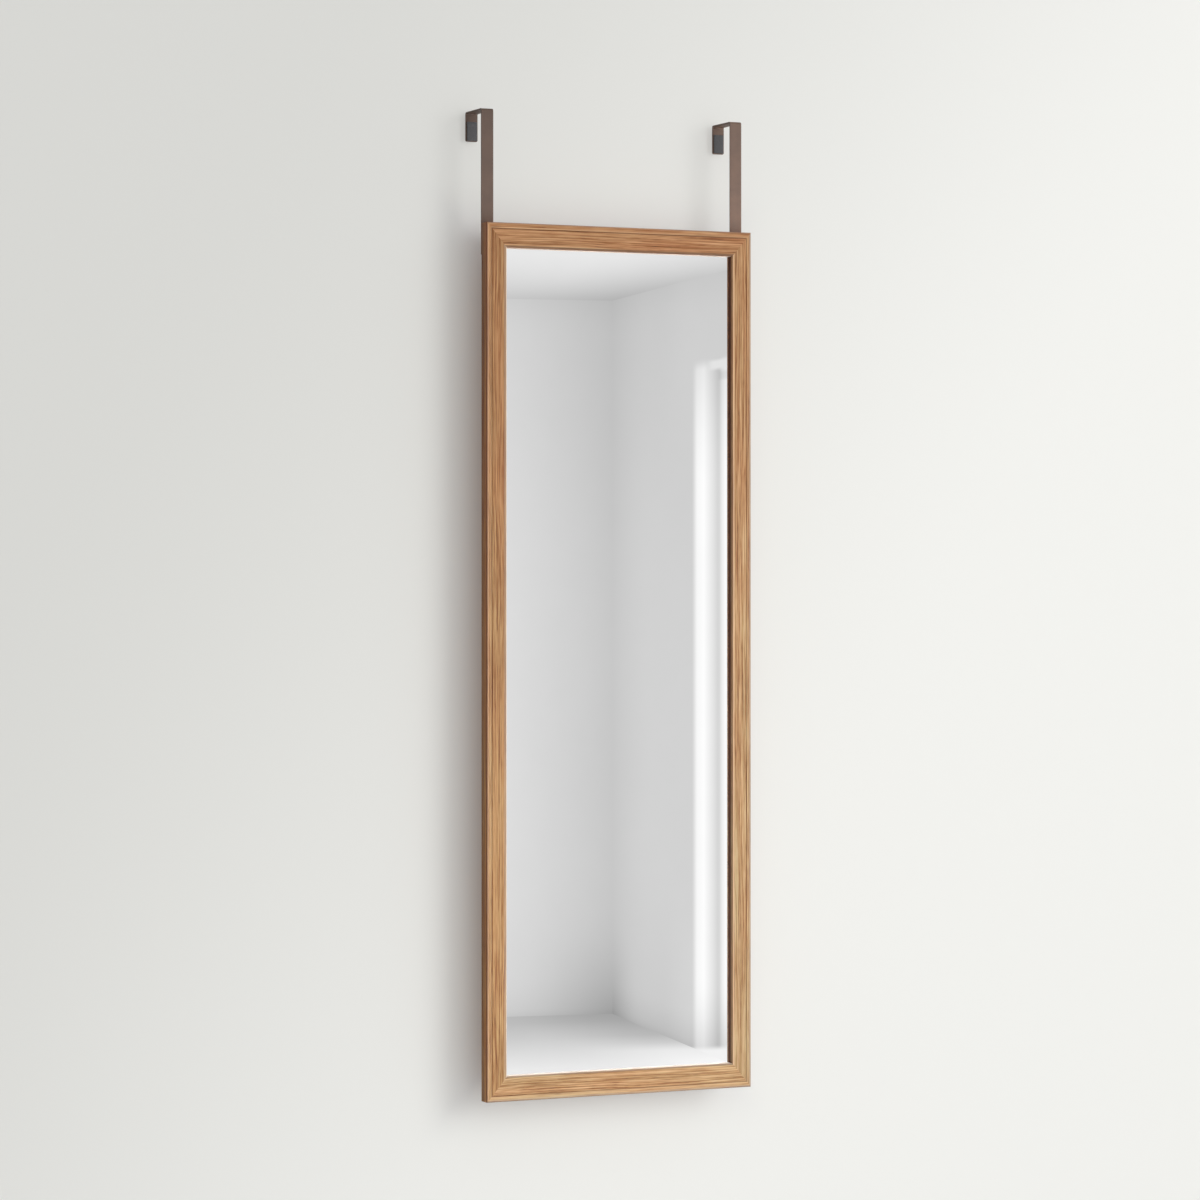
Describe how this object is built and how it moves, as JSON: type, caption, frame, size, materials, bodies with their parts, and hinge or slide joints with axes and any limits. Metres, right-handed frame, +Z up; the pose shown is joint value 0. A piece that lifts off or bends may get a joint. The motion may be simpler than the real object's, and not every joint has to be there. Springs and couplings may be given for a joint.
{
  "type": "over the door mirror",
  "caption": "Tall rectangular mirror in a mitred oak-look frame, hung by two flat metal straps that hook over the top of a door.",
  "frame": {"origin": "midway across the frame, at the underside of the hooks' bridges, in the middle of the gap between the hooks' front and rear legs: where the top edge of the door lies", "axes": "+X to the right seen from the front, +Y from the front of the mirror to its back, +Z up"},
  "size_m": [0.37, 0.07, 1.244],
  "materials": {
    "oak": "satin oak-look foil, grain along each member",
    "mirror_glass": "plain silvered float glass",
    "foam": "soft white foam",
    "hardboard": "matt brown hardboard",
    "tab_steel": "bright rolled steel",
    "strap_paint": "satin taupe powder coat",
    "screw_steel": "zinc plated",
    "felt": "pressed grey felt",
    "bumper_rubber": "clear soft bumper"
  },
  "bodies": {
    "root": {"left_stile": "oak", "right_stile": "oak", "top_rail": "oak", "bottom_rail": "oak", "mirror_pane": "mirror_glass", "foam_sheet": "foam", "backing_board": "hardboard", "left_tabs": "tab_steel", "right_tabs": "tab_steel", "top_tabs": "tab_steel", "bottom_tabs": "tab_steel", "top_left_wedge": "tab_steel", "top_right_wedge": "tab_steel", "bottom_left_wedge": "tab_steel", "bottom_right_wedge": "tab_steel", "left_hook": "strap_paint", "right_hook": "strap_paint", "left_hook_screws": "screw_steel", "right_hook_screws": "screw_steel", "left_hook_pad": "felt", "right_hook_pad": "felt", "left_bumper": "bumper_rubber", "right_bumper": "bumper_rubber"}
  },
  "joints": []
}
